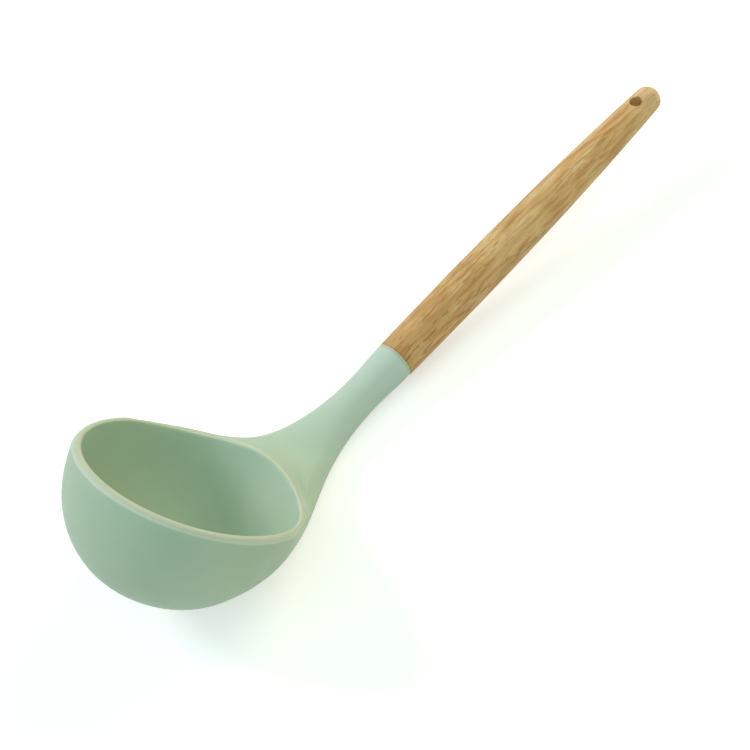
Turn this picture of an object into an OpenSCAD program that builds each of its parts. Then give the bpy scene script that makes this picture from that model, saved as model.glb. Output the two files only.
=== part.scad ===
// Soup ladle with a silicone head moulded over a rigid core, and a turned wooden handle.
// It lies on its back on a table: +X runs along the handle to its tip, +Z is up, and y = 0 is the plane of symmetry.

/* [Bowl] */
// Outside diameter of the bowl below its lip
bowl_d = 89; // [80:0.5:98]
// Depth of the bowl outside, from the crest of the lip to the bottom
bowl_depth = 47.2; // [42:0.2:52]
// Thickness of the bowl's wall, silicone and core together
bowl_wall = 3.2; // [3:0.1:5]
// Fullness of the bowl's section: 2 is an ellipse and more is squarer
bowl_fullness = 2.14; // [2:0.02:2.4]
// Shift of the bowl's bottom towards its front for each mm of depth
bowl_lean = 0.1; // [0:0.01:0.14]
// Height of the lip's rounded edge
lip_h = 1.8; // [1:0.1:2.4]
// Squareness of the lip's section: 2 is an oval and more is squarer
lip_fullness = 3; // [2:0.1:4]
// Climb of the lip where it meets the neck
lip_rise = 3; // [0:0.1:4]
// Half of the angle over which the lip climbs
lip_rise_half = 40; // [25:1:50]
// Dip of the lip on each side of the neck
lip_dip = 1.35; // [0:0.05:2]
// Angle from the neck to the middle of a dip
lip_dip_at = 51; // [45:1:70]
// Half of the angle that a dip spans
lip_dip_half = 26; // [15:1:35]

/* [Neck] */
// Angle between the plane of the lip and the handle
neck_angle = 45; // [40:1:50]
// Distance along the handle from the joint back to the centre of the lip
neck_reach = 97.5; // [92:0.5:110]
// Distance from the centre of the lip down to the handle's axis
neck_drop = 44.5; // [40:0.5:48]
// Half of the angle that the neck's root spans round the bowl
root_half = 70; // [60:1:71]
// Squareness of the upper half of the root: 2 is an oval and more follows the lip further
root_square = 3; // [2:0.1:4]
// Angle down the bowl's wall at which the neck's root ends at the back
root_low = 30; // [27:1:40]
// Radius of the arcs along the neck's sides
side_arc = 78; // [70:1:90]
// Radius of the arc along the neck's front
front_arc = 500; // [250:10:800]
// Radius of the arc along the neck's back
back_arc = 280; // [180:5:400]
// Width of the shallow flat along the neck's back, which the ladle rests on
rest_w = 10; // [6:0.5:12]
// Distance behind the waist over which the flat widens to that width
rest_run = 28; // [15:1:34]
// Distance from the waist to the fillet that runs out on the bowl
fillet_at = 33; // [30:0.5:36]
// Diameter of the neck at its waist
waist_d = 14.4; // [12.5:0.1:15.5]
// Distance from the waist to the joint
waist_at = 19.2; // [16:0.1:22]
// Diameter of the collar and the handle where they meet
joint_d = 15.9; // [15:0.1:18]

/* [Handle] */
// Length of the wooden handle
handle_len = 153; // [120:1:200]
// Diameter of the handle at its belly
belly_d = 16.5; // [15.5:0.1:20]
// Distance from the joint to the belly
belly_at = 40; // [20:1:60]
// Diameter of the handle where its rounded end starts
tip_d = 10.7; // [9:0.1:14]
// Length of the rounded end
tip_round = 5; // [3:0.2:8]
// Sharpness of the taper from the belly to the tip: 1 is a straight cone
taper_power = 2.2; // [1:0.1:3]
// Diameter of the hole for hanging
hang_d = 5; // [3:0.1:6]
// Distance from the tip to the centre of the hole
hang_inset = 11; // [8:0.5:20]

/* [Core] */
// Thickness of the silicone over the core
skin = 1; // [0.7:0.05:1.2]
// Diameter of the tang inside the handle
tang_d = 9; // [7:0.1:10]
// Length of the tang from the joint
tang_len = 40; // [25:1:60]
// Number of glue grooves round the tang
groove_count = 5; // [2:1:8]
// Width of a groove
groove_w = 2.4; // [1:0.1:3]
// Depth of a groove
groove_depth = 0.6; // [0.3:0.1:1]
// Chamfer on the end of the tang
tang_chamfer = 1; // [0.5:0.1:2]

/* [Fit] */
// Glue gap between the tang and the bore of the handle
bond_gap = 0.25; // [0.1:0.05:0.5]
// Glue gap between the end of the tang and the end of the bore
bond_end = 2; // [0.5:0.1:4]

/* [Placement] */
// Angle at which the handle rises from the table
lie_angle = 5.3; // [0:0.1:10]

/* [Hidden] */
$fn = 96;

// Facets: columns round the bowl, and half of the columns across the neck's root
columns = 48;
root_columns = 10;
// Rows on the inner wall, on half of the lip, beside the root and below it
inner_rows = 8;
lip_rows = 3;
root_rows = 5;
low_rows = 5;
// Rings from the bowl's rows to the root, over the fillet, along the neck and along the collar
patch_rings = 2;
fillet_rings = 6;
neck_rings = 5;
collar_rings = 4;
// Stations along the handle and on its rounded end
wood_steps = 16;
tip_steps = 6;

// Places along the bowl's section run from -1 inside the bottom over the crest at 0 to 1 under the bottom.
// The lip takes this share on each side of the crest.
lip_share = 0.08;
// Place where the root starts on the lip, and the lowest row that the root's surround reaches
root_top = 0.029;
root_surround = 0.62;
// Place by which the core's root starts lower, so that the silicone stays thick in the valley outside the lip
core_root_drop = 0.08;
root_bottom = lip_share + (1 - lip_share) * root_low / 90;
// Share of the bowl's depth over which the lip's climb and dips fade out
rise_fade = 0.6;
// Power with which the fillet lets go of the bowl's surface towards the front
front_release = 4;
// Short steps in angle, place and mm that find a slope
angle_step = 0.05;
place_step = 0.0005;
neck_step = 0.05;
// Overlap that joins the tang to the stem, and excess length of a cut
overlap = 2;

in_rows = [for (k = [1 : inner_rows]) -1 + (1 - lip_share) * k / inner_rows];
in_lip = [for (k = [1 : lip_rows]) -lip_share * (1 - k / lip_rows)];
out_lip = [for (k = [1 : lip_rows]) lip_share * k / lip_rows];
out_rows = [for (k = [1 : root_rows]) lip_share + (root_surround - lip_share) * k / root_rows];
under_rows = [for (k = [1 : low_rows - 1]) root_surround + (1 - root_surround) * k / low_rows];
rows = concat(in_rows, in_lip, out_lip, out_rows, under_rows);
crest_row = inner_rows + lip_rows - 1;
surround_rows = lip_rows + root_rows;
surround_row = crest_row + surround_rows;
last_row = len(rows) - 1;

// Grid places round the root's surround, as column and row, clockwise seen from the handle
surround = concat(
    [for (k = [0 : surround_rows - 1]) [root_columns, crest_row + k]],
    [for (k = [0 : 2 * root_columns - 1]) [root_columns - k, surround_row]],
    [for (k = [0 : surround_rows - 1]) [-root_columns, surround_row - k]],
    [for (k = [0 : 2 * root_columns - 1]) [-root_columns + k, crest_row]]
);
ring_size = len(surround);
ring_count = patch_rings + fillet_rings + neck_rings + collar_rings;
grid_size = len(rows) * columns;
sheet_size = grid_size + 2 + ring_count * ring_size;

function mix(a, b, share) = a * (1 - share) + b * share;
function unit(v) = v / norm(v);
function column_angle(column) = 360 * column / columns;

// Height of the lip at an angle from the neck: it dips beside the neck and climbs where it meets it
function lip_height(angle) =
    let (
        away = abs(angle > 180 ? angle - 360 : angle),
        climb = away < lip_rise_half ? (1 + cos(180 * away / lip_rise_half)) / 2 : 0,
        dip = exp(-pow((away - lip_dip_at) / lip_dip_half, 2))
    )
    lip_rise * climb - lip_dip * dip;

// Point of the bowl about the centre of its lip, at an angle round it and a place along its section.
// A depth below the surface moves the point into the wall, and gives the core's own surface.
function bowl_point(angle, place, depth) =
    let (
        side = place < 0 ? -1 : 1,
        far = abs(place),
        lip_width = bowl_wall - 2 * depth,
        lip_edge = lip_h * lip_width / bowl_wall,
        lip_turn = 90 * (1 - far / lip_share),
        wall_turn = 90 * (far - lip_share) / (1 - lip_share),
        rim_r = side < 0 ? bowl_d / 2 - bowl_wall + depth : bowl_d / 2 - depth,
        bottom = side < 0 ? bowl_depth - bowl_wall + depth : bowl_depth - depth,
        on_lip = far < lip_share,
        r = on_lip
            ? (bowl_d - bowl_wall) / 2 + side * lip_width / 2 * pow(cos(lip_turn), 2 / lip_fullness)
            : rim_r * pow(max(cos(wall_turn), 0), 2 / bowl_fullness),
        z = on_lip
            ? -depth - lip_edge * (1 - pow(sin(lip_turn), 2 / lip_fullness))
            : -depth - lip_edge - (bottom - depth - lip_edge) * pow(sin(wall_turn), 2 / bowl_fullness),
        fade = pow(max(1 + z / (rise_fade * bowl_depth), 0), 2)
    )
    [r * cos(angle) + bowl_lean * z, r * sin(angle), z + fade * lip_height(angle)];

// The same point along the handle: the joint is the origin and x runs to the tip
function on_handle(p) = [
    p.x * cos(neck_angle) + p.z * sin(neck_angle) - neck_reach,
    p.y,
    p.z * cos(neck_angle) - p.x * sin(neck_angle) + neck_drop
];
function head_point(angle, place, depth) = on_handle(bowl_point(angle, place, depth));

// Direction of a surround place seen from the root's middle, which is also its angle round the neck
function ring_turn(at) = atan2(2 * (at[1] - crest_row) / surround_rows - 1, at[0] / root_columns);
function bulge(v, power) = sign(v) * pow(abs(v), 2 / power);
function root_power(turn) = turn < 0 ? root_square : 2;
function root_angle(turn) = root_half * bulge(cos(turn), root_power(turn));
function root_place(turn, depth) =
    let (top = root_top + (depth > 0 ? core_root_drop : 0))
    (root_bottom + top) / 2 + (root_bottom - top) / 2 * bulge(sin(turn), root_power(turn));

// Point between the surround at share 0 and the root at share 1
function patch_point(at, share, depth) =
    let (turn = ring_turn(at))
    head_point(
        mix(column_angle(at[0]), root_angle(turn), share),
        mix(rows[at[1]], root_place(turn, depth), share),
        depth
    );

function ring_point(x, r, turn) = [x, r * cos(turn), -r * sin(turn)];

// Point of the neck at a distance behind the waist: each plane section is two half ovals on a rising middle,
// and the lower one is cut off at the flat
function neck_point(turn, back, depth) =
    let (
        half_width = waist_d / 2 + back * back / (2 * side_arc),
        middle_z = back * back / (2 * front_arc),
        low = waist_d / 2 + middle_z - back * back / (2 * back_arc),
        half_height = (sin(turn) > 0 ? low : waist_d / 2) - depth,
        rest_half = rest_w / 2 * sin(90 * min(back / rest_run, 1)),
        rest_level = sqrt(1 - pow(rest_half / half_width, 2))
    )
    [-waist_at - back, (half_width - depth) * cos(turn), middle_z - half_height * min(sin(turn), rest_level)];

// Direction square to the bowl's surface at the root
function root_normal(turn, depth) =
    let (
        angle = root_angle(turn),
        place = root_place(turn, depth),
        round = head_point(angle + angle_step, place, depth) - head_point(angle - angle_step, place, depth),
        down = head_point(angle, place + place_step, depth) - head_point(angle, place - place_step, depth)
    )
    unit(cross(round, down));

// Point of the fillet from the root at share 0 to the neck at share 1. At the back and the sides it leaves along
// the bowl's surface, so bowl and neck join without a crease. At the front it leaves the lip straight.
function fillet_point(turn, share, depth) =
    let (
        start = head_point(root_angle(turn), root_place(turn, depth), depth),
        finish = neck_point(turn, fillet_at, depth),
        reach = norm(finish - start),
        way = (finish - start) / reach,
        normal = root_normal(turn, depth),
        hold = 1 - pow(max(-sin(turn), 0), front_release),
        leave = unit(way - hold * (way * normal) * normal),
        arrive = unit(neck_point(turn, fillet_at - neck_step, depth) - finish),
        s2 = share * share,
        s3 = s2 * share
    )
    (2 * s3 - 3 * s2 + 1) * start + (s3 - 2 * s2 + share) * reach * leave
    + (3 * s2 - 2 * s3) * finish + (s3 - s2) * reach * arrive;

function collar_r(share) = mix(waist_d, joint_d, (1 - cos(180 * share)) / 2) / 2;

// All points of the head's surface, or of the core's at a depth: rows of the bowl, its two poles, then rings
function sheet_points(depth) = concat(
    [for (place = rows) for (c = [0 : columns - 1]) head_point(column_angle(c), place, depth)],
    [head_point(0, -1, depth), head_point(0, 1, depth)],
    [for (k = [1 : patch_rings]) for (at = surround) patch_point(at, k / patch_rings, depth)],
    [for (k = [1 : fillet_rings]) for (at = surround) fillet_point(ring_turn(at), k / fillet_rings, depth)],
    [
        for (k = [1 : neck_rings])
        for (at = surround)
        neck_point(ring_turn(at), fillet_at * (1 - k / neck_rings), depth)
    ],
    [
        for (k = [1 : collar_rings])
        for (at = surround)
        ring_point(-waist_at * (1 - k / collar_rings), collar_r(k / collar_rings) - depth, ring_turn(at))
    ]
);

function grid_index(row, column) = row * columns + (column + columns) % columns;
function ring_index(ring, k) =
    ring == 0
    ? grid_index(surround[k % ring_size][1], surround[k % ring_size][0])
    : grid_size + 2 + (ring - 1) * ring_size + k % ring_size;
function quad(a, b, c, d) = [[a, b, c], [a, c, d]];
function in_root(row, column) =
    row >= crest_row && row < surround_row && column >= -root_columns && column < root_columns;

// Faces of the surface, open only at the joint
sheet_faces = concat(
    [
        for (row = [0 : last_row - 1])
        for (c = [-columns / 2 : columns / 2 - 1])
        if (!in_root(row, c))
        each quad(grid_index(row, c), grid_index(row, c + 1), grid_index(row + 1, c + 1), grid_index(row + 1, c))
    ],
    [for (c = [0 : columns - 1]) [grid_size, grid_index(0, c + 1), grid_index(0, c)]],
    [for (c = [0 : columns - 1]) [grid_index(last_row, c), grid_index(last_row, c + 1), grid_size + 1]],
    [
        for (ring = [0 : ring_count - 1])
        for (k = [0 : ring_size - 1])
        each quad(ring_index(ring, k), ring_index(ring, k + 1), ring_index(ring + 1, k + 1), ring_index(ring + 1, k))
    ]
);
function flipped(face, shift) = [face[2] + shift, face[1] + shift, face[0] + shift];

skin_points = sheet_points(0);
core_points = sheet_points(skin);

// Radius of the wood: it swells to the belly, tapers to the tip and ends in a round
function wood_r(x) =
    x < belly_at
    ? mix(joint_d, belly_d, sin(90 * x / belly_at)) / 2
    : mix(belly_d, tip_d, pow((x - belly_at) / (handle_len - tip_round - belly_at), taper_power)) / 2;
wood_profile = concat(
    [for (k = [0 : wood_steps]) let (x = (handle_len - tip_round) * k / wood_steps) [wood_r(x), x]],
    [
        for (k = [1 : tip_steps])
        let (turn = 90 * k / tip_steps)
        [tip_d / 2 * cos(turn), handle_len - tip_round * (1 - sin(turn))]
    ]
);

// Place on the table: the lowest point touches it, and the origin lies under the middle of the length
function laid(p) = [p.x * cos(lie_angle) - p.z * sin(lie_angle), p.x * sin(lie_angle) + p.z * cos(lie_angle)];
laid_points = concat(
    [for (p = skin_points) laid(p)],
    [for (p = wood_profile) for (side = [-1, 1]) laid([p[1], 0, side * p[0]])]
);
laid_x = [for (p = laid_points) p[0]];
middle_x = (min(laid_x) + max(laid_x)) / 2;
table_z = min([for (p = laid_points) p[1]]);
hang_x = handle_len - hang_inset;

module lie_down() {
    translate([-middle_x, 0, -table_z])
        rotate([0, -lie_angle, 0])
            children();
}

module along_handle() {
    rotate([0, 90, 0])
        children();
}

// Silicone skin: the outside of bowl, neck and collar, with the core's own shape left free inside
module silicone_head() {
    joint_ring = [
        for (k = [0 : ring_size - 1])
        each quad(
            ring_index(ring_count, k), ring_index(ring_count, k + 1),
            ring_index(ring_count, k + 1) + sheet_size, ring_index(ring_count, k) + sheet_size
        )
    ];
    color([0.67, 0.79, 0.69])
        lie_down()
            polyhedron(
                concat(skin_points, core_points),
                concat(sheet_faces, joint_ring, [for (face = sheet_faces) flipped(face, sheet_size)])
            );
}

// Tang: a round pin from the joint, with glue grooves at equal steps and a chamfered end
module tang(start) {
    step = tang_len / (groove_count + 1);
    along_handle()
        difference() {
            union() {
                translate([0, 0, start])
                    cylinder(d = tang_d, h = tang_len - tang_chamfer - start);
                translate([0, 0, tang_len - tang_chamfer])
                    cylinder(d1 = tang_d, d2 = tang_d - 2 * tang_chamfer, h = tang_chamfer);
            }
            for (k = [1 : groove_count])
                translate([0, 0, step * k - groove_w / 2])
                    difference() {
                        cylinder(d = tang_d + overlap, h = groove_w);
                        translate([0, 0, -overlap])
                            cylinder(d = tang_d - 2 * groove_depth, h = groove_w + 2 * overlap);
                    }
        }
}

// Rigid core: a cup in the bowl's wall, a stem in the neck and the tang
module core() {
    joint_face = [for (k = [0 : ring_size - 1]) ring_index(ring_count, k)];
    color([0.85, 0.84, 0.8])
        lie_down() {
            polyhedron(core_points, concat(sheet_faces, [joint_face]));
            tang(-overlap);
        }
}

module bore() {
    along_handle()
        cylinder(d = tang_d + 2 * bond_gap, h = tang_len + bond_end);
}

// Cured glue: what the bore holds besides the tang
module tang_bond() {
    color([0.93, 0.86, 0.62])
        lie_down()
            difference() {
                bore();
                tang(-overlap);
            }
}

// Turned wood with the blind bore for the tang and the hole for hanging
module handle() {
    color([0.74, 0.57, 0.36])
        lie_down()
            difference() {
                along_handle()
                    rotate_extrude()
                        polygon(concat([[0, 0]], wood_profile));
                bore();
                translate([hang_x, 0, -belly_d])
                    cylinder(d = hang_d, h = 2 * belly_d);
            }
}

silicone_head();
core();
tang_bond();
handle();
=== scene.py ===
import math

import bmesh
import bpy
from mathutils import Euler, Matrix, Vector
from mathutils.bvhtree import BVHTree


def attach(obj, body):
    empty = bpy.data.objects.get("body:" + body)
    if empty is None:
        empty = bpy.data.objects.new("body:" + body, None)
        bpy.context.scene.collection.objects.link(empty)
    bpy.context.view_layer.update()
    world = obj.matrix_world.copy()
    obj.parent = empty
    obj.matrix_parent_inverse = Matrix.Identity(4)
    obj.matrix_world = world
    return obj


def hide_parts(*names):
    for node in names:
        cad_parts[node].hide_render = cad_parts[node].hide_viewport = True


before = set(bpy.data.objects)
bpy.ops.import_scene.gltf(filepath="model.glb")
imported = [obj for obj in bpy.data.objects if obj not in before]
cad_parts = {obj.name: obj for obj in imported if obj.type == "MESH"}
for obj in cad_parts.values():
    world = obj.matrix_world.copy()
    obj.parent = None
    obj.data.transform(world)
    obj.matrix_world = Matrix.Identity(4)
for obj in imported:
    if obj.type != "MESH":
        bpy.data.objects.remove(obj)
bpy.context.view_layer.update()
print("frame loaded:", sorted(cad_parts))

# the ladle lies on its back: the joint's centre, and the angle at which the handle rises from the table
lay = {
    "joint": Vector((-0.00079709, 0.0, 0.00964893)),
    "rise": math.radians(5.3),
}
handleToTable = Matrix.Translation(lay["joint"]) @ Matrix.Rotation(-lay["rise"], 4, "Y")
tableToHandle = handleToTable.inverted()


def newNode(tree, kind, place, **settings):
    made = tree.nodes.new(kind)
    made.location = place
    for name, value in settings.items():
        setattr(made, name, value)
    return made


def feed(tree, value, socket):
    # a socket takes a link, a colour or a number
    if isinstance(value, bpy.types.NodeSocket):
        tree.links.new(value, socket)
    elif isinstance(value, tuple):
        socket.default_value = (*value, 1)
    else:
        socket.default_value = value


def startMaterial(name):
    material = bpy.data.materials.new(name)
    material.use_nodes = True
    return material, material.node_tree, material.node_tree.nodes["Principled BSDF"]


def objectPlace(tree, turn=0.0, shift=(0, 0, 0), slant=0.0):
    # object coordinates, turned about Y and shifted where a pattern follows the handle
    coords = newNode(tree, "ShaderNodeTexCoord", (-1900, 0))
    mapping = newNode(tree, "ShaderNodeMapping", (-1700, 0))
    mapping.inputs["Rotation"].default_value = (0, turn, slant)
    mapping.inputs["Location"].default_value = shift
    tree.links.new(coords.outputs["Object"], mapping.inputs["Vector"])
    return mapping.outputs["Vector"]


def alongHandle(tree, slant=0.0):
    # x runs along the handle from the joint
    shift = Matrix.Rotation(lay["rise"], 3, "Y") @ lay["joint"]
    return objectPlace(tree, lay["rise"], (-shift.x, -shift.y, -shift.z), slant)


def stretchedNoise(tree, place, vector, stretch, detail, roughness=0.5, distortion=0.0):
    # noise whose features are 1 / stretch metres long on each axis
    mapping = newNode(tree, "ShaderNodeMapping", place)
    mapping.inputs["Scale"].default_value = stretch
    noise = newNode(tree, "ShaderNodeTexNoise", (place[0] + 200, place[1]))
    noise.inputs["Scale"].default_value = 1.0
    noise.inputs["Detail"].default_value = detail
    noise.inputs["Roughness"].default_value = roughness
    noise.inputs["Distortion"].default_value = distortion
    tree.links.new(vector, mapping.inputs["Vector"])
    tree.links.new(mapping.outputs["Vector"], noise.inputs["Vector"])
    return noise.outputs["Fac"]


def colourRamp(tree, place, factor, stops, colours):
    ramp = newNode(tree, "ShaderNodeValToRGB", place)
    while len(ramp.color_ramp.elements) < len(stops):
        ramp.color_ramp.elements.new(0.5)
    for element, position, colour in zip(ramp.color_ramp.elements, stops, colours):
        element.position = position
        element.color = (*colour, 1)
    tree.links.new(factor, ramp.inputs["Fac"])
    return ramp.outputs["Color"]


def spread(tree, place, value, oldRange, newRange):
    # a value's range stretched to another range
    ranged = newNode(tree, "ShaderNodeMapRange", place)
    names = ("From Min", "From Max", "To Min", "To Max")
    for name, number in zip(names, (*oldRange, *newRange)):
        ranged.inputs[name].default_value = number
    tree.links.new(value, ranged.inputs["Value"])
    return ranged.outputs["Result"]


def blendColour(tree, place, blendType, factor, first, second):
    # sockets 0, 6 and 7 are the factor and the two colours, output 2 is the mixed colour
    mix = newNode(tree, "ShaderNodeMix", place, data_type="RGBA", blend_type=blendType)
    feed(tree, factor, mix.inputs[0])
    feed(tree, first, mix.inputs[6])
    feed(tree, second, mix.inputs[7])
    return mix.outputs[2]


def calculate(tree, place, operation, first, second):
    maths = newNode(tree, "ShaderNodeMath", place, operation=operation)
    feed(tree, first, maths.inputs[0])
    feed(tree, second, maths.inputs[1])
    return maths.outputs[0]


def addBump(tree, place, height, strength, distance, under=None):
    bump = newNode(tree, "ShaderNodeBump", place)
    bump.inputs["Strength"].default_value = strength
    bump.inputs["Distance"].default_value = distance
    tree.links.new(height, bump.inputs["Height"])
    if under is not None:
        tree.links.new(under, bump.inputs["Normal"])
    return bump.outputs["Normal"]


siliconeLook = {
    "colour": (0.485, 0.605, 0.45),
    "cloud": (0.45, 0.585, 0.438),      # faint clouding in the pigment
    "cloudStops": (0.35, 0.7),
    # noise: features per metre on each axis, and its detail
    "cloudNoise": ((55, 55, 55), 3),
    "grainNoise": ((2600, 2600, 2600), 2),
    "waveNoise": ((180, 180, 180), 2),
    # bumps: strength, and height in metres
    "grainBump": (0.12, 0.00008),       # fine grain of the mould
    "waveBump": (0.10, 0.0005),
    "roughness": ((0.3, 0.7), (0.50, 0.60)),    # range of the clouding, and what it becomes
    "lipTopHighlight": (0.56, 0.575, 0.425),  # painted highlight: the lip's top, painted paler and warmer where light falls on it
    # painted highlight on the lip's rounded outer side
    "lipSideHighlight": (0.62, 0.71, 0.59),
    "lipHighlightStops": (0.94, 1.0),            # painted highlight: stops for the lip's rounded outer side and for its top
    "lipHighlightFade": ((0.905, 0.925), (0.0, 1.0)),
    "neckLitColour": (0.575, 0.705, 0.625),
    "neckLitFade": ((-0.085, -0.005), (0.0, 1.0)),     # painted light: the neck is painted paler towards the wood, where it is lit more brightly
    "softness": 0.25,
    "softReach": 0.004,
    "softRadius": (0.8, 1.0, 0.75),
    "sheen": 0.10,
    "sheenRoughness": 0.5,
    "ior": 1.41,
}


def makeSilicone():
    look = siliconeLook
    material, tree, shader = startMaterial("sageSilicone")
    place = objectPlace(tree)
    cloud = stretchedNoise(tree, (-1400, 300), place, *look["cloudNoise"])
    tint = colourRamp(tree, (-900, 300), cloud, look["cloudStops"], (look["colour"], look["cloud"]))
    grain = stretchedNoise(tree, (-1400, 0), place, *look["grainNoise"])
    wave = stretchedNoise(tree, (-1400, -300), place, *look["waveNoise"])
    rough = spread(tree, (-900, 0), cloud, *look["roughness"])
    waves = addBump(tree, (-600, -300), wave, *look["waveBump"])
    grains = addBump(tree, (-350, -300), grain, *look["grainBump"], waves)
    handlePlace = newNode(tree, "ShaderNodeSeparateXYZ", (-1200, 900))
    tree.links.new(alongHandle(tree), handlePlace.inputs[0])
    # painted light: the neck grows paler towards the wood
    neckLight = spread(tree, (-900, 900), handlePlace.outputs["X"], *look["neckLitFade"])
    tint = blendColour(tree, (-600, 700), "MIX", neckLight, tint, look["neckLitColour"])
    # the lip's painted highlight is kept in the mesh
    lipHighlight = newNode(tree, "ShaderNodeAttribute", (-900, 600), attribute_name="paintedHighlight").outputs["Fac"]
    edge = spread(tree, (-700, 600), lipHighlight, *look["lipHighlightFade"])
    band = colourRamp(tree, (-700, 450), lipHighlight, look["lipHighlightStops"], (look["lipSideHighlight"], look["lipTopHighlight"]))
    tint = blendColour(tree, (-500, 500), "MIX", edge, tint, band)
    tree.links.new(tint, shader.inputs["Base Color"])
    tree.links.new(rough, shader.inputs["Roughness"])
    tree.links.new(grains, shader.inputs["Normal"])
    shader.inputs["IOR"].default_value = look["ior"]
    shader.inputs["Subsurface Weight"].default_value = look["softness"]
    shader.inputs["Subsurface Radius"].default_value = look["softRadius"]
    shader.inputs["Subsurface Scale"].default_value = look["softReach"]
    shader.inputs["Sheen Weight"].default_value = look["sheen"]
    shader.inputs["Sheen Roughness"].default_value = look["sheenRoughness"]
    return material


woodLook = {
    "dark": (0.48, 0.227, 0.059),
    "middle": (0.655, 0.385, 0.153),
    "light": (0.80, 0.535, 0.27),
    "figureStops": (0.28, 0.47, 0.68),
    "tip": (0.84, 0.58, 0.36),
    "poreColour": (0.40, 0.16, 0.026),
    "slant": 0.05,                      # the grain runs a little across the handle
    # noise: features per metre along and across the handle, its detail, roughness and distortion
    "streaks": ((62, 380, 380), 4, 0.55, 0.35),
    "broad": ((16, 120, 120), 2, 0.5, 0.3),
    "fibres": ((55, 2400, 2400), 3),
    "pores": ((150, 1000, 1000), 2),
    "poreBands": ((16, 260, 260), 2),
    # range of a noise, and what it becomes
    "broadTone": ((0.3, 0.7), (0.92, 1.08)),
    "fibreTone": ((0.25, 0.75), (0.90, 1.10)),
    "poreDashes": ((0.53, 0.59), (0.0, 0.9)),
    "poreCrowd": ((0.40, 0.56), (0.15, 0.95)),
    "roughness": ((0.3, 0.7), (0.46, 0.60)),
    # stretch of the handle in metres from the joint, and the share at its two ends
    "poreFade": ((0.0, 0.10), (1.0, 0.5)),      # most pores lie near the joint
    "jointFade": ((0.0, 0.065), (0.32, 0.0)),   # darker and redder towards the joint
    "tipFade": ((0.138, 0.153), (0.0, 0.7)),    # the turned end is a little paler
    # bumps: strength, and height in metres
    "fibreBump": (0.10, 0.0002),
    "poreBump": (0.25, 0.0002),
    "ior": 1.45,
}


def makeWood():
    look = woodLook
    material, tree, shader = startMaterial("turnedWood")
    place = alongHandle(tree)
    grain = alongHandle(tree, look["slant"])
    handlePlace = newNode(tree, "ShaderNodeSeparateXYZ", (-1400, 850))
    tree.links.new(place, handlePlace.inputs[0])
    length = handlePlace.outputs["X"]
    # streaks, broad bands of tone and fine fibres
    streaks = stretchedNoise(tree, (-1400, 600), grain, *look["streaks"])
    tints = (look["dark"], look["middle"], look["light"])
    figure = colourRamp(tree, (-1000, 600), streaks, look["figureStops"], tints)
    broad = stretchedNoise(tree, (-1400, 350), place, *look["broad"])
    tone = spread(tree, (-1000, 350), broad, *look["broadTone"])
    fibres = stretchedNoise(tree, (-1400, 100), place, *look["fibres"])
    threads = spread(tree, (-1000, 100), fibres, *look["fibreTone"])
    shade = calculate(tree, (-800, 250), "MULTIPLY", tone, threads)
    shaded = blendColour(tree, (-600, 500), "MULTIPLY", 1.0, figure, shade)
    # short dark pores, crowded in bands
    pores = stretchedNoise(tree, (-1400, -150), place, *look["pores"])
    dashes = spread(tree, (-1000, -150), pores, *look["poreDashes"])
    bands = stretchedNoise(tree, (-1400, -400), place, *look["poreBands"])
    crowd = spread(tree, (-1000, -400), bands, *look["poreCrowd"])
    nearJoint = spread(tree, (-1000, -600), length, *look["poreFade"])
    crowd = calculate(tree, (-850, -450), "MULTIPLY", crowd, nearJoint)
    marks = calculate(tree, (-800, -250), "MULTIPLY", dashes, crowd)
    # the two ends
    start = spread(tree, (-1000, 1050), length, *look["jointFade"])
    shaded = blendColour(tree, (-550, 800), "MIX", start, shaded, look["dark"])
    end = spread(tree, (-1000, 850), length, *look["tipFade"])
    shaded = blendColour(tree, (-450, 700), "MIX", end, shaded, look["tip"])
    colour = blendColour(tree, (-350, 400), "MIX", marks, shaded, look["poreColour"])
    rough = spread(tree, (-350, 100), fibres, *look["roughness"])
    fine = addBump(tree, (-600, -500), fibres, *look["fibreBump"])
    sunk = calculate(tree, (-600, -250), "SUBTRACT", 1.0, marks)
    relief = addBump(tree, (-350, -400), sunk, *look["poreBump"], fine)
    tree.links.new(colour, shader.inputs["Base Color"])
    tree.links.new(rough, shader.inputs["Roughness"])
    tree.links.new(relief, shader.inputs["Normal"])
    shader.inputs["IOR"].default_value = look["ior"]
    return material


hiddenLook = {
    "stops": (0.4, 0.65),
    "bump": (0.1, 0.0001),
    "nylon": {
        "colours": ((0.70, 0.69, 0.64), (0.66, 0.65, 0.60)),
        "noise": ((900, 900, 900), 2),
        "roughness": 0.45,
    },
    "glue": {
        "colours": ((0.76, 0.63, 0.34), (0.70, 0.56, 0.28)),
        "noise": ((400, 400, 400), 2),
        "roughness": 0.25,
    },
}


def makeHidden(name):
    look = hiddenLook[name]
    material, tree, shader = startMaterial(name)
    cloud = stretchedNoise(tree, (-1400, 0), objectPlace(tree), *look["noise"])
    tint = colourRamp(tree, (-900, 0), cloud, hiddenLook["stops"], look["colours"])
    relief = addBump(tree, (-500, -300), cloud, *hiddenLook["bump"])
    tree.links.new(tint, shader.inputs["Base Color"])
    tree.links.new(relief, shader.inputs["Normal"])
    shader.inputs["Roughness"].default_value = look["roughness"]
    return material


def roundEdges(shell, edges, width, steps):
    bmesh.ops.bevel(
        shell, geom=edges, offset=width, offset_type="OFFSET", affect="EDGES",
        segments=steps, profile=0.5, material=-1,
    )


def addPiece(name, shell, material, nodeName):
    mesh = bpy.data.meshes.new(name)
    shell.to_mesh(mesh)
    shell.free()
    mesh.materials.append(material)
    mesh.shade_smooth()
    piece = bpy.data.objects.new(name, mesh)
    bpy.context.scene.collection.objects.link(piece)
    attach(piece, "root")
    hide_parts(nodeName)
    return piece


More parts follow.
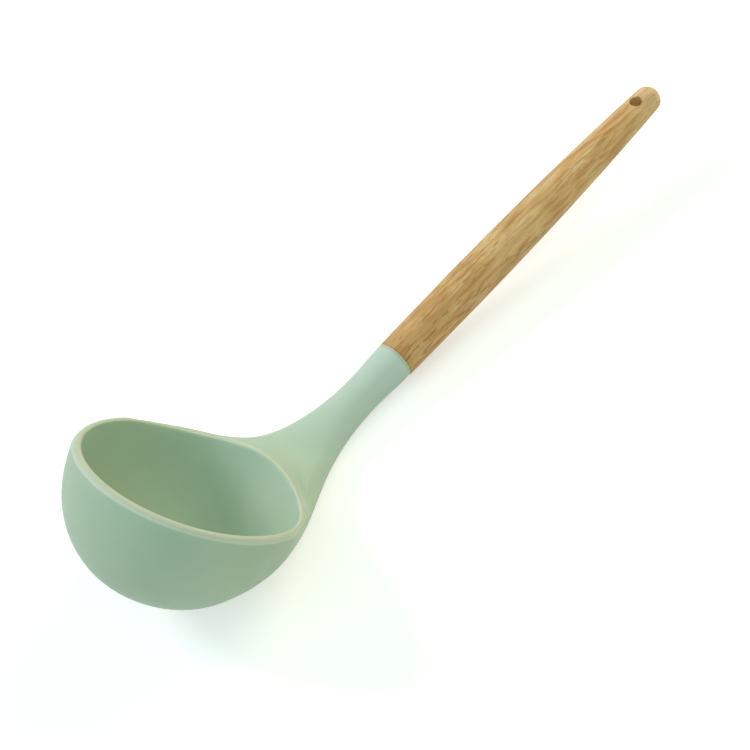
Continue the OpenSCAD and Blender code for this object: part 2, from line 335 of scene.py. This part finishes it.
headShape = {
    "mergeGap": 2e-6,
    "joinAngles": (45, 70),             # limits for joining triangles, in degrees
    "smoothing": 2,
    # the flat ring that meets the wood
    "jointRadius": 0.00795,
    "skin": 0.001,
    "ringSlack": 1e-5,
    "edgeRound": 0.00035,
    "edgeSteps": 2,
    # the bowl's depth, the lean of its axis, and how the neck holds it
    "bowlDepth": 0.0472,
    "bowlLean": 0.1,
    "neckAngle": 45,
    "neckReach": 0.0975,
    "neckDrop": 0.0445,
    # the solid's lip, an oval that climbs and dips round the bowl
    "lipMiddle": 0.0429,
    "lipHalf": 0.0016,
    "lipHeight": 0.0018,
    "lipFullness": 3,
    "lipRise": (0.003, 40),             # climb in metres and half of its angle
    "lipDip": (0.00135, 51, 26),        # depth, angle from the neck and half of its span
    "riseFade": 0.6,                    # share of the depth over which climb and dip fade out
    # the lip as moulded: radius and height of seven places from the inside over the crest to the outside
    "lipSection": (
        (0.04120, -0.00160), (0.04125, -0.00055), (0.04160, -0.00005), (0.04260, -0.00012),
        (0.04350, -0.00042), (0.04400, -0.00125), (0.04450, -0.00260),
    ),
    "ridgeSection": (
        (0.04175, -0.00155), (0.04190, -0.00050), (0.04235, -0.00006), (0.04290, 0.0),
        (0.04391, -0.00017), (0.04435, -0.00067), (0.04450, -0.00180),
    ),
    "lipSlack": 0.04,                   # how far off the oval a point of the lip may lie
    "lipEnds": (62, 96),                # degrees from the neck where the ridge ends, and the band is full
    "lipFoot": 0.99,                    # share of the half width beyond which the band's foot is creased
    "lipCrease": 0.9,
    # the neck's root, where ripples are smoothed away
    "rootAngle": 86,
    "rootDepth": 0.034,
    "rootEnd": -0.045,
    "rootRadius": 0.0446,               # points farther out are on the neck
    "wallLean": 0.3,                    # least outward part of a normal on the bowl's wall
    "frontDepth": 0.004,
    "lipTurns": (54, 71),               # where the lip leaves the neck, in degrees
    "calming": (12, 4),                 # passes that keep the volume, and plain ones on the front
    "calmSteps": (0.5, -0.53),
    "hiddenGap": 1e-4,                  # points nearer to the core are on the skin's hidden side
    "cover": 0.0005,
    # painted highlight on the lip, on the ridge along the neck and on the edge at the wood
    "highlightFalloff": 0.085,                  # what the painted highlight loses over the bands' width
    "highlightBands": (0.00035, 0.00042, 0.0021),    # widths inside, along the neck and round the bowl
    "highlightTurns": (42, 82),
    "jointHighlight": 1.12,                  # painted highlight on the thin edge at the wood; over 1, because smoothing lowers it on that edge
    "jointReach": 1.5,                  # that edge's width, in edgeRounds
}
bowlTurn = Matrix.Rotation(math.radians(headShape["neckAngle"]), 4, "Y")
bowlShift = Matrix.Translation((-headShape["neckReach"], 0, headShape["neckDrop"]))
bowlToTable = handleToTable @ bowlShift @ bowlTurn
tableToBowl = bowlToTable.inverted()
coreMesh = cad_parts["core"].data
coreTree = BVHTree.FromPolygons(
    [vert.co for vert in coreMesh.vertices], [list(face.vertices) for face in coreMesh.polygons],
)


def shareOf(value, start, full):
    return min(max((value - start) / (full - start), 0.0), 1.0)


def onBowl(point):
    # angle from the neck, offset from the bowl's axis and level of a point
    place = tableToBowl @ point
    across = Vector((place.x - headShape["bowlLean"] * place.z, place.y))
    return abs(math.degrees(math.atan2(across.y, across.x))), across, place.z


def overLip(angle, level):
    # height over the lip's crest, whose climb and dips fade out down the wall
    shape = headShape
    climb, climbHalf = shape["lipRise"]
    dip, dipAt, dipHalf = shape["lipDip"]
    rise = (1 + math.cos(math.pi * angle / climbHalf)) / 2 if angle < climbHalf else 0.0
    lift = climb * rise - dip * math.exp(-((angle - dipAt) / dipHalf) ** 2)
    fade = max(1 + (level - lift) / (shape["riseFade"] * shape["bowlDepth"]), 0.0) ** 2
    return level - fade * lift


def seenSide(shell):
    # points on the outside of the skin: those on its hidden side lie on the core
    return [vert for vert in shell.verts if coreTree.find_nearest(vert.co)[3] > headShape["hiddenGap"]]


def evenOut(verts, factor):
    middles = []
    for vert in verts:
        around = [edge.other_vert(vert).co for edge in vert.link_edges]
        middles.append(sum(around, Vector()) / len(around))
    for vert, middle in zip(verts, middles):
        vert.co = vert.co.lerp(middle, factor)


def calmRoot(shell, seen):
    # ripples of the facets round the neck's root are smoothed away
    shape = headShape
    shell.normal_update()
    zone, front = [], []
    nearest, farthest = shape["lipTurns"]
    for vert in seen:
        angle, across, level = onBowl(vert.co)
        outward = (tableToBowl.to_3x3() @ vert.normal).xy.dot(across.normalized())
        onWall = outward > shape["wallLean"] and level > -shape["rootDepth"]
        onNeck = across.length > shape["rootRadius"] and (tableToHandle @ vert.co).x < shape["rootEnd"]
        inZone = angle < shape["rootAngle"] and (onWall or onNeck)
        onLipEnd = nearest < angle < farthest and across.length > shape["lipMiddle"]
        if inZone:
            zone.append(vert)
        if level > -shape["frontDepth"] and (onLipEnd or (inZone and onNeck)):
            front.append(vert)
    passes, plainPasses = shape["calming"]
    inStep, outStep = shape["calmSteps"]
    for _ in range(passes):
        evenOut(zone, inStep)
        evenOut(zone, outStep)
    for _ in range(plainPasses):
        evenOut(front, inStep)
    # the skin stays over the core
    for vert in zone:
        near, normal, _, _ = coreTree.find_nearest(vert.co)
        if (vert.co - near).dot(normal) < shape["cover"]:
            vert.co = near + normal * shape["cover"]
    return len(zone)


def firmLip(shell, seen):
    # the lip's oval section is pressed into the flat top and steep band of the moulded lip
    shape = headShape
    creases = shell.edges.layers.float.get("crease_edge")
    fullness = shape["lipFullness"]
    crest = len(shape["lipSection"]) // 2
    shares = {}
    for vert in seen:
        angle, across, level = onBowl(vert.co)
        down = overLip(angle, level)
        out = (across.length - shape["lipMiddle"]) / shape["lipHalf"]
        up = max(1 + down / shape["lipHeight"], 0.0)
        if abs(abs(out) ** fullness + up ** fullness - 1) > shape["lipSlack"]:
            continue
        share = shareOf(angle, *shape["lipEnds"])
        lipTurn = math.acos(min(abs(out), 1.0) ** (fullness / 2))
        station = crest + math.copysign(crest * (1 - lipTurn / (math.pi / 2)), out)
        first = min(int(station), 2 * crest - 1)
        places = slice(first, first + 2)
        near, far = (
            Vector(ridge).lerp(Vector(band), share)
            for ridge, band in zip(shape["ridgeSection"][places], shape["lipSection"][places])
        )
        radius, height = near.lerp(far, station - first)
        level += height - down
        moved = across.normalized() * radius
        vert.co = bowlToTable @ Vector((moved.x + shape["bowlLean"] * level, moved.y, level))
        if out > shape["lipFoot"]:
            shares[vert] = share
    for edge in shell.edges:
        if all(vert in shares for vert in edge.verts):
            edge[creases] = shape["lipCrease"] * min(shares[vert] for vert in edge.verts)
    return len(shares)


def highlightAt(point):
    # painted highlight: 1 on top of the lip, and less with the depth below it
    shape = headShape
    angle, across, level = onBowl(point)
    inner, ridge, band = shape["highlightBands"]
    depth = -overLip(angle, level)
    beyond = across.length - shape["lipMiddle"]
    reach = inner
    if beyond > 0:
        turn = shareOf(angle, *shape["highlightTurns"])
        depth = max(depth, beyond - shape["lipHalf"] / 2)
        reach = ridge + (band - ridge) * turn * turn * (3 - 2 * turn)
    return 1 - shape["highlightFalloff"] * max(depth, 0.0) / reach


def makeHead(material):
    shape = headShape
    shell = bmesh.new()
    shell.from_mesh(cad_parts["silicone_head"].data)
    bmesh.ops.remove_doubles(shell, verts=shell.verts, dist=shape["mergeGap"])
    faceLimit, shapeLimit = (math.radians(angle) for angle in shape["joinAngles"])
    bmesh.ops.join_triangles(
        shell, faces=shell.faces, angle_face_threshold=faceLimit, angle_shape_threshold=shapeLimit,
    )
    # edges of the flat ring that meets the wood
    creases = shell.edges.layers.float.new("crease_edge")
    # painted highlight of the lip, the ridge along the neck and the edge at the wood
    shell.verts.layers.float.new("paintedHighlight")
    middle = shape["jointRadius"] - shape["skin"] / 2
    outer = []
    for edge in shell.edges:
        ends = [tableToHandle @ vert.co for vert in edge.verts]
        if max(abs(end.x) for end in ends) > shape["ringSlack"]:
            continue
        reach = [math.hypot(end.y, end.z) for end in ends]
        if min(reach) > middle:
            outer.append(edge)
        elif max(reach) < middle:
            edge[creases] = 1.0
    roundEdges(shell, outer, shape["edgeRound"], shape["edgeSteps"])
    seen = seenSide(shell)
    band = firmLip(shell, seen)
    calmed = calmRoot(shell, seen)
    # painted highlights: the lip, the ridge along the neck and the thin edge at the wood are painted
    # paler where light catches them
    paintedHighlight = shell.verts.layers.float.get("paintedHighlight")
    thinEdge = -shape["jointReach"] * shape["edgeRound"]
    for vert in seen:
        place = tableToHandle @ vert.co
        if place.x < shape["rootEnd"]:
            vert[paintedHighlight] = highlightAt(vert.co)
        elif place.x > thinEdge and math.hypot(place.y, place.z) > middle:
            vert[paintedHighlight] = shape["jointHighlight"]
    piece = addPiece("silicone_skin", shell, material, "silicone_head")
    smooth = piece.modifiers.new("smooth", "SUBSURF")
    smooth.levels = smooth.render_levels = shape["smoothing"]
    print("head:", len(piece.data.polygons), "faces,", len(outer), "joint edges,",
          band, "on the lip,", calmed, "calmed")


handleShape = {
    "length": 0.15297,
    "jointRadius": 0.00795,
    "bellyRadius": 0.00825,
    "bellyAt": 0.040,
    "tipRadius": 0.00535,
    "tipRound": 0.005,
    "taperPower": 2.2,
    "boreRadius": 0.00475,
    "boreDepth": 0.042,
    "holeRadius": 0.0025,
    "holeInset": 0.011,
    "holePatch": (0.0035, 10, 20),      # half length, rows and columns of faces that the hole replaces
    "holeRound": 0.0004,
    "holeSteps": 3,
    "edgeRound": 0.0003,
    "edgeSteps": 2,
    "turns": 96,
    "stations": (0.003, 46),            # spacing and number of rings from the joint
    "tipSteps": 10,
    "slack": 1e-6,
    "sharpAngle": 40,
}


def woodRadius(along):
    shape = handleShape
    if along < shape["bellyAt"]:
        share = math.sin(math.pi / 2 * along / shape["bellyAt"])
        return shape["jointRadius"] + (shape["bellyRadius"] - shape["jointRadius"]) * share
    run = shape["length"] - shape["tipRound"] - shape["bellyAt"]
    share = ((along - shape["bellyAt"]) / run) ** shape["taperPower"]
    return shape["bellyRadius"] + (shape["tipRadius"] - shape["bellyRadius"]) * share


def handleProfile(holeAt):
    # places along the handle and radii, from the bore's bottom over the joint to the tip
    shape = handleShape
    half, rows, _ = shape["holePatch"]
    spacing, count = shape["stations"]
    straightEnd = shape["length"] - shape["tipRound"]
    stations = [spacing * k for k in range(count)]
    stations += [holeAt - half + 2 * half * k / rows for k in range(rows + 1)]
    stations += [straightEnd]
    depth, bore = shape["boreDepth"], shape["boreRadius"]
    profile = [(depth, 0.0), (depth, bore), (0.0, bore)]
    profile += [(along, woodRadius(along)) for along in stations]
    for k in range(1, shape["tipSteps"] + 1):
        turn = math.pi / 2 * k / shape["tipSteps"]
        along = straightEnd + shape["tipRound"] * math.sin(turn)
        profile.append((along, shape["tipRadius"] * math.cos(turn)))
    return profile


def openHole(shell, holeAt):
    # a patch is taken out of the front and the back, and filled in round a circle
    shape = handleShape
    half, _, columns = shape["holePatch"]
    slack = shape["slack"]
    reach = math.sin(2 * math.pi / shape["turns"] * columns / 2)
    rims = []
    for side in (1, -1):
        patch = [
            face for face in shell.faces
            if all(
                abs(vert.co.x - holeAt) < half + slack and vert.co.z * side > 0
                and abs(vert.co.y) < reach * math.hypot(vert.co.y, vert.co.z) + slack
                for vert in face.verts
            )
        ]
        bmesh.ops.delete(shell, geom=patch, context="FACES")
        # at the back this finds the front's rim too, which leaves a sheet inside the wood, out of sight
        border = [edge for edge in shell.edges if edge.is_boundary]
        ring = bmesh.ops.create_circle(
            shell, radius=shape["holeRadius"], segments=len(border),
            matrix=Matrix.Translation((holeAt, 0, 0)),
        )["verts"]
        for vert in ring:
            vert.co.z = side * math.sqrt(woodRadius(vert.co.x) ** 2 - vert.co.y ** 2)
        rim = list(dict.fromkeys(edge for vert in ring for edge in vert.link_edges))
        bmesh.ops.bridge_loops(shell, edges=border + rim)
        rims += rim
    bmesh.ops.bridge_loops(shell, edges=rims)
    bmesh.ops.recalc_face_normals(shell, faces=shell.faces)
    roundEdges(shell, rims, shape["holeRound"], shape["holeSteps"])


def makeHandle(material):
    shape = handleShape
    holeAt = shape["length"] - shape["holeInset"]
    shell = bmesh.new()
    verts = [shell.verts.new((along, 0.0, radius)) for along, radius in handleProfile(holeAt)]
    edges = [shell.edges.new(pair) for pair in zip(verts, verts[1:])]
    bmesh.ops.spin(
        shell, geom=verts + edges, cent=(0, 0, 0), axis=(1, 0, 0), angle=2 * math.pi,
        steps=shape["turns"], use_merge=True,
    )
    bmesh.ops.remove_doubles(shell, verts=shell.verts, dist=shape["slack"])
    openHole(shell, holeAt)
    outside = shape["jointRadius"] - shape["slack"]
    jointEdges = [
        edge for edge in shell.edges
        if all(
            abs(vert.co.x) < shape["slack"] and math.hypot(vert.co.y, vert.co.z) > outside
            for vert in edge.verts
        )
    ]
    roundEdges(shell, jointEdges, shape["edgeRound"], shape["edgeSteps"])
    bmesh.ops.transform(shell, matrix=handleToTable, verts=shell.verts)
    piece = addPiece("turned_handle", shell, material, "handle")
    piece.data.set_sharp_from_angle(angle=math.radians(shape["sharpAngle"]))
    print("handle:", len(piece.data.polygons), "faces,", len(jointEdges), "edges at the joint")


sceneLight = {
    "sky": 0.27,
    "skyColour": (0.84, 1.0, 0.97),
    # where each sun stands, its strength, colour and the angle that it fills in degrees
    "suns": {
        "keyLight": ((-0.25, 0.78, 0.57), 1.38, (1.0, 0.95, 0.93), 20),
        "backLight": ((0.82, 0.0, 0.57), 1.18, (1.0, 0.89, 0.52), 34),
        "frontLight": ((-0.25, -0.78, 0.57), 0.58, (0.92, 0.93, 0.64), 50),
        "sideLight": ((-0.50, 0.0, 0.87), 0.54, (0.28, 0.76, 1.0), 60),
    },
    "floorColour": (0.80, 0.80, 0.80),
    "floorLift": 0.48,                  # glow that brings the floor near white in the picture
    "floorRoughness": 0.9,
    "floorHalf": 4.0,
}


def addSun(name, stand, strength, colour, angle):
    lamp = bpy.data.lights.new(name, "SUN")
    lamp.energy = strength
    lamp.color = colour
    lamp.angle = math.radians(angle)
    sun = bpy.data.objects.new(name, lamp)
    sun.rotation_euler = Vector(stand).to_track_quat("Z", "Y").to_euler()
    bpy.context.scene.collection.objects.link(sun)


def seenDirectly(tree, place):
    # 1 for rays from the camera and for what gloss or glass shows of the surroundings
    rays = newNode(tree, "ShaderNodeLightPath", place).outputs
    seen = calculate(
        tree, (place[0] + 200, place[1]), "MAXIMUM", rays["Is Camera Ray"], rays["Is Glossy Ray"],
    )
    return calculate(tree, (place[0] + 400, place[1]), "MAXIMUM", seen, rays["Is Transmission Ray"])


def addSurround():
    world = bpy.data.worlds.new("paleSurround")
    world.use_nodes = True
    bpy.context.scene.world = world
    tree = world.node_tree
    background = tree.nodes["Background"]
    seen = seenDirectly(tree, (-900, 0))
    colour = blendColour(tree, (-200, 300), "MIX", seen, sceneLight["skyColour"], (1.0, 1.0, 1.0))
    strength = spread(tree, (-200, 0), seen, (0, 1), (sceneLight["sky"], 1.0))
    tree.links.new(colour, background.inputs["Color"])
    tree.links.new(strength, background.inputs["Strength"])


def addFloor():
    light = sceneLight
    material, tree, shader = startMaterial("paleFloor")
    shader.inputs["Base Color"].default_value = (*light["floorColour"], 1)
    shader.inputs["Roughness"].default_value = light["floorRoughness"]
    shader.inputs["Specular IOR Level"].default_value = 0.0
    shader.inputs["Emission Color"].default_value = (1, 1, 1, 1)
    seen = seenDirectly(tree, (-900, -300))
    lift = spread(tree, (-200, -300), seen, (0, 1), (0.0, light["floorLift"]))
    tree.links.new(lift, shader.inputs["Emission Strength"])
    surface = bmesh.new()
    bmesh.ops.create_grid(surface, x_segments=1, y_segments=1, size=light["floorHalf"])
    mesh = bpy.data.meshes.new("floor")
    surface.to_mesh(mesh)
    surface.free()
    mesh.materials.append(material)
    floor = bpy.data.objects.new("floor", mesh)
    bpy.context.scene.collection.objects.link(floor)


cameraSet = {
    "place": (-0.51393, -0.66607, 1.04650),
    "turn": (38.1955, 7.7738, -46.7574),
    "lens": 170.13,
    "sensor": 36.0,
    "clipStart": 0.05,
}


def addCamera():
    data = bpy.data.cameras.new("camera")
    data.sensor_width = cameraSet["sensor"]
    data.lens = cameraSet["lens"]
    data.clip_start = cameraSet["clipStart"]
    camera = bpy.data.objects.new("camera", data)
    camera.location = cameraSet["place"]
    camera.rotation_euler = Euler([math.radians(angle) for angle in cameraSet["turn"]])
    bpy.context.scene.collection.objects.link(camera)
    bpy.context.scene.camera = camera


addCamera()
addSurround()
for sunName, sun in sceneLight["suns"].items():
    addSun(sunName, *sun)
addFloor()
bpy.context.scene.view_settings.view_transform = "Standard"
print("stage set")

makeHead(makeSilicone())
makeHandle(makeWood())
for nodeName, finish in (("core", "nylon"), ("tang_bond", "glue")):
    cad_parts[nodeName].data.materials.clear()
    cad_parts[nodeName].data.materials.append(makeHidden(finish))
print("pieces made")

bpy.context.view_layer.update()
